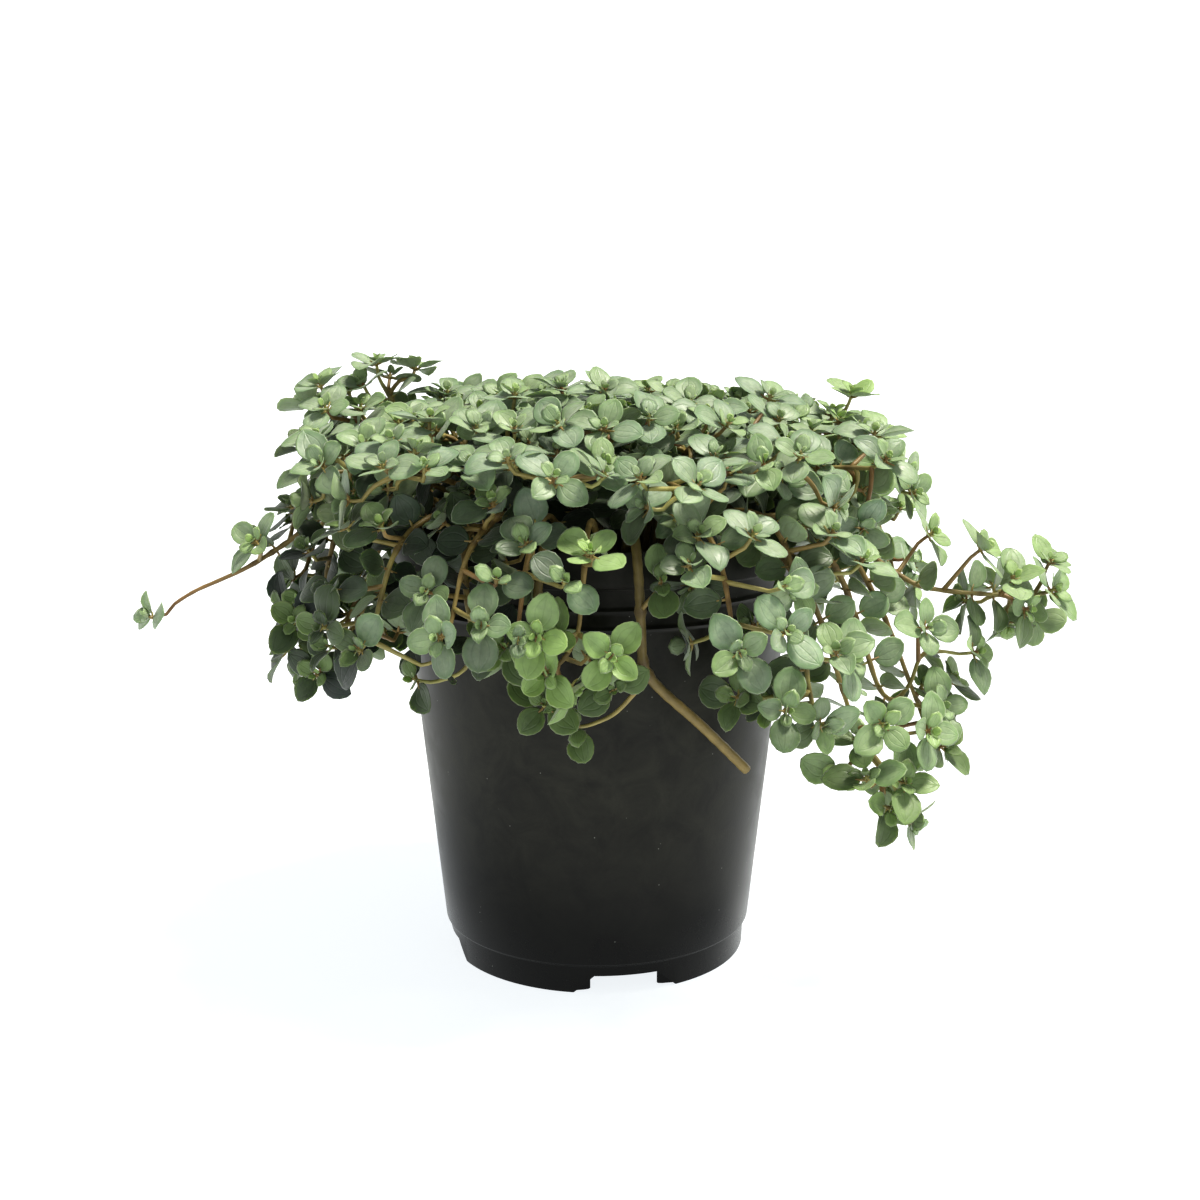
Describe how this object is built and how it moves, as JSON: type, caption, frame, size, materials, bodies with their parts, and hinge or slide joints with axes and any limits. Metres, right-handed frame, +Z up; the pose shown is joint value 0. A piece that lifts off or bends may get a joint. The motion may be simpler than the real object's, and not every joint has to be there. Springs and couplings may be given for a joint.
{
  "type": "potted trailing pilea",
  "caption": "Round black plastic nursery pot with a dense, spilling mound of small round silvery blue-green leaves on thin tan stems.",
  "frame": {"origin": "on the pot's axis, on the plane that the foot ring stands on", "axes": "+Z up along the pot's axis, -Y towards the side that the picture shows, +X to that side's right, along the plant's widest spread"},
  "size_m": [0.2337, 0.1718, 0.154],
  "materials": {
    "pot_plastic": "moulded black polypropylene, satin, with faint water marks",
    "potting_mix": "moist brown peat with crumbs and fibres",
    "foliage": "matte, silvery blue-green leaves and tan stems"
  },
  "bodies": {
    "root": {"crown_shoot_01": "foliage", "crown_shoot_02": "foliage", "crown_shoot_03": "foliage", "crown_shoot_04": "foliage", "crown_shoot_05": "foliage", "crown_shoot_06": "foliage", "crown_shoot_07": "foliage", "nursery_pot": "pot_plastic", "potting_mix": "potting_mix", "shoulder_shoot_01": "foliage", "shoulder_shoot_02": "foliage", "shoulder_shoot_03": "foliage", "shoulder_shoot_04": "foliage", "shoulder_shoot_05": "foliage", "shoulder_shoot_06": "foliage", "shoulder_shoot_07": "foliage", "shoulder_shoot_08": "foliage", "shoulder_shoot_09": "foliage", "shoulder_shoot_10": "foliage", "shoulder_shoot_11": "foliage", "shoulder_shoot_12": "foliage", "shoulder_shoot_13": "foliage", "shoulder_shoot_14": "foliage", "skirt_shoot_01": "foliage", "skirt_shoot_02": "foliage", "skirt_shoot_03": "foliage", "skirt_shoot_04": "foliage", "skirt_shoot_05": "foliage", "skirt_shoot_06": "foliage", "skirt_shoot_07": "foliage", "skirt_shoot_08": "foliage", "skirt_shoot_09": "foliage", "skirt_shoot_10": "foliage", "skirt_shoot_11": "foliage", "skirt_shoot_12": "foliage", "skirt_shoot_13": "foliage", "tall_shoot_far_left": "foliage", "tall_shoot_left": "foliage", "trailing_front_cluster": "foliage", "trailing_front_cut": "foliage", "trailing_front_knot": "foliage", "trailing_front_left": "foliage", "trailing_left": "foliage", "trailing_left_low": "foliage", "trailing_right_arc": "foliage", "trailing_right_high": "foliage", "trailing_right_level": "foliage", "trailing_right_low": "foliage", "trailing_right_outer": "foliage", "upper_shoot_01": "foliage", "upper_shoot_02": "foliage", "upper_shoot_03": "foliage", "upper_shoot_04": "foliage", "upper_shoot_05": "foliage", "upper_shoot_06": "foliage", "upper_shoot_07": "foliage", "upper_shoot_08": "foliage", "upper_shoot_09": "foliage", "upper_shoot_10": "foliage", "upper_shoot_11": "foliage"}
  },
  "joints": []
}
